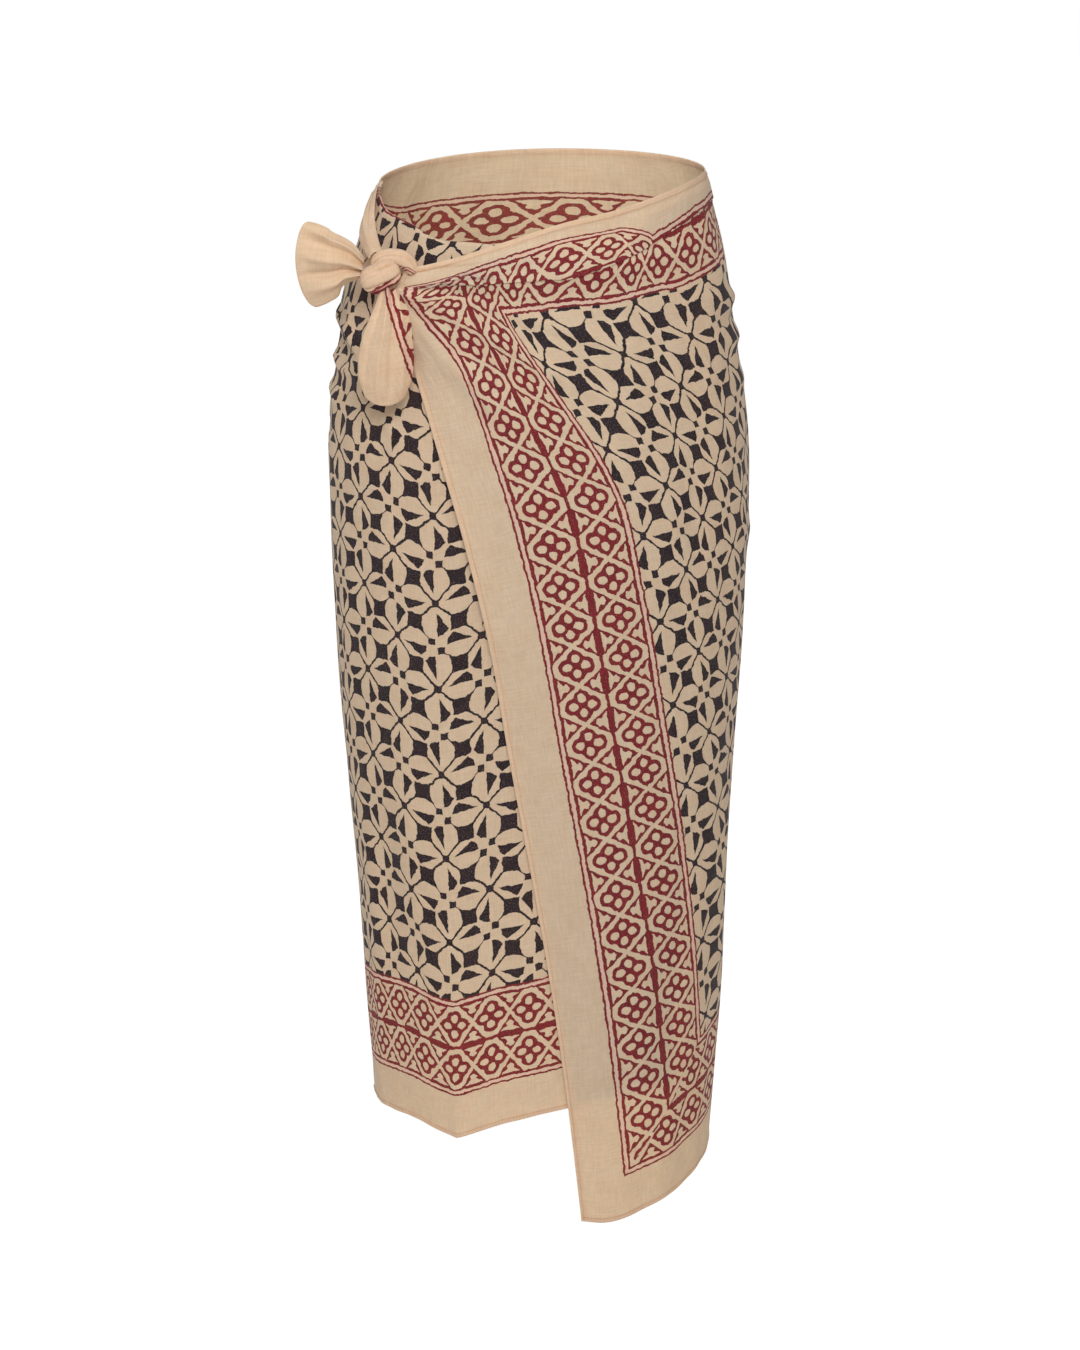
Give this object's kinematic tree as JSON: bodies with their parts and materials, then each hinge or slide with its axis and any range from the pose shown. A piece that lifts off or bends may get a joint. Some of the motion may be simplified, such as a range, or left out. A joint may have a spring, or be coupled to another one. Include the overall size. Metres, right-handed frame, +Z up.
{
  "type": "sarong wrap skirt",
  "caption": "Printed cotton wrap skirt wound once round the body, with a free side edge over the front, tied at the hip with a short fan end and a hanging end",
  "frame": {"origin": "centre of the waist ring, where the wearer's waist holds the garment", "axes": "+X to the wearer's left, which is the picture's right; +Y to the back; +Z up. The front faces -Y"},
  "size_m": [0.3946, 0.2679, 0.952],
  "materials": {
    "over_front": "matt plain-weave cotton, block printed in maroon and dark blue on beige",
    "back": "matt plain-weave cotton, block printed in dark blue on beige",
    "under_front": "matt plain-weave cotton, block printed in dark blue on beige",
    "strap": "matt plain-weave cotton, beige",
    "knot_wrap": "matt plain-weave cotton, beige",
    "knot_loop": "matt plain-weave cotton, beige",
    "ear": "matt plain-weave cotton, beige",
    "tail": "matt plain-weave cotton, beige with a maroon printed band"
  },
  "bodies": {
    "root": {"over_front": "over_front", "back": "back", "under_front": "under_front", "strap": "strap", "knot_wrap": "knot_wrap", "knot_loop": "knot_loop", "ear": "ear", "tail": "tail"}
  },
  "joints": []
}
